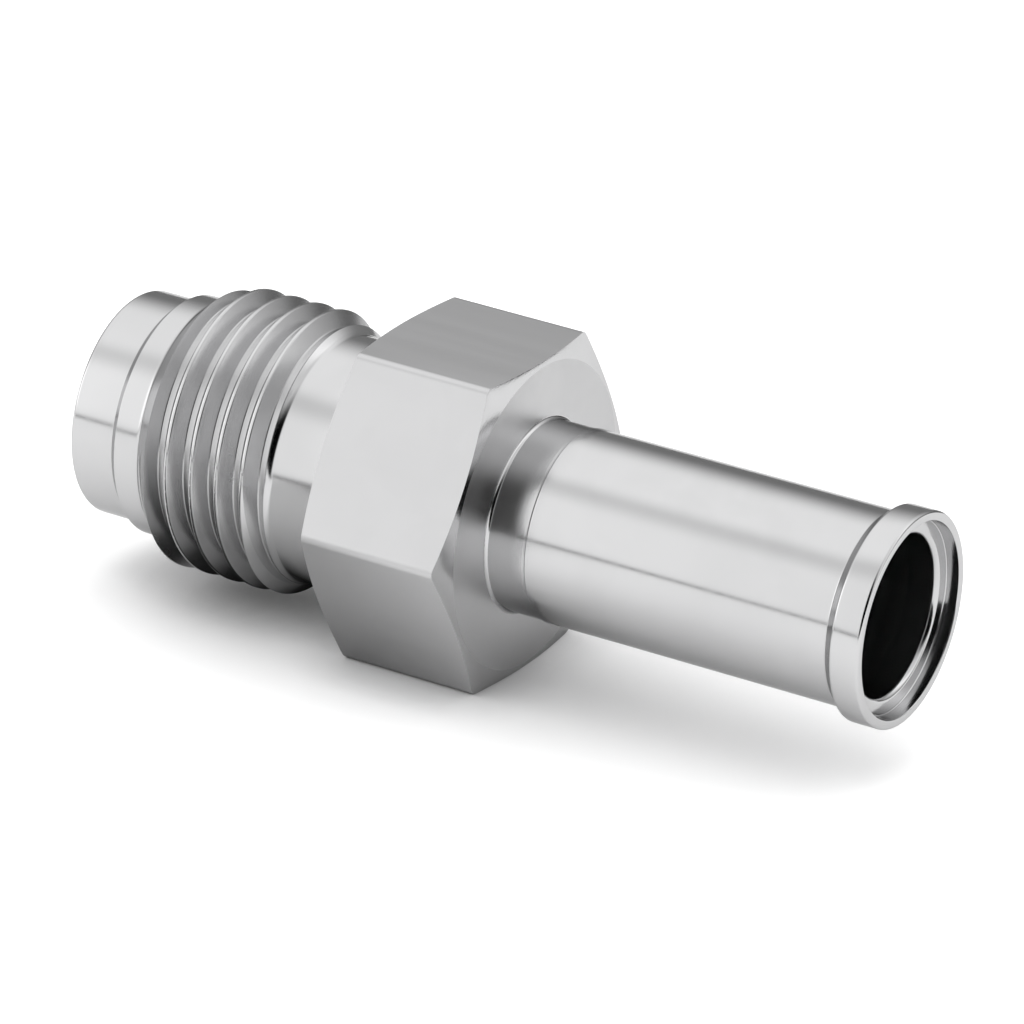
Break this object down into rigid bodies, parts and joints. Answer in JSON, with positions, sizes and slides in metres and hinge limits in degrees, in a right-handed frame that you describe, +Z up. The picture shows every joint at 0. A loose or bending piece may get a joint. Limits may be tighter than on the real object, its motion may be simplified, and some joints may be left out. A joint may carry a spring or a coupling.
{
  "type": "face seal fitting body",
  "caption": "One-piece stainless fitting: a threaded seal nose, a hexagon and a smooth tube end with a small collar, bored right through.",
  "frame": {"origin": "on the surface that the part rests on, under the middle of its length", "axes": "+X along the axis from the seal nose to the tube mouth, +Z up through the upper hexagon flat"},
  "size_m": [0.043, 0.018, 0.0157],
  "materials": {
    "stainless_steel": "fine turned stainless steel, brushed flats on the hexagon"
  },
  "bodies": {
    "root": {"fitting_body": "stainless_steel"}
  },
  "joints": []
}
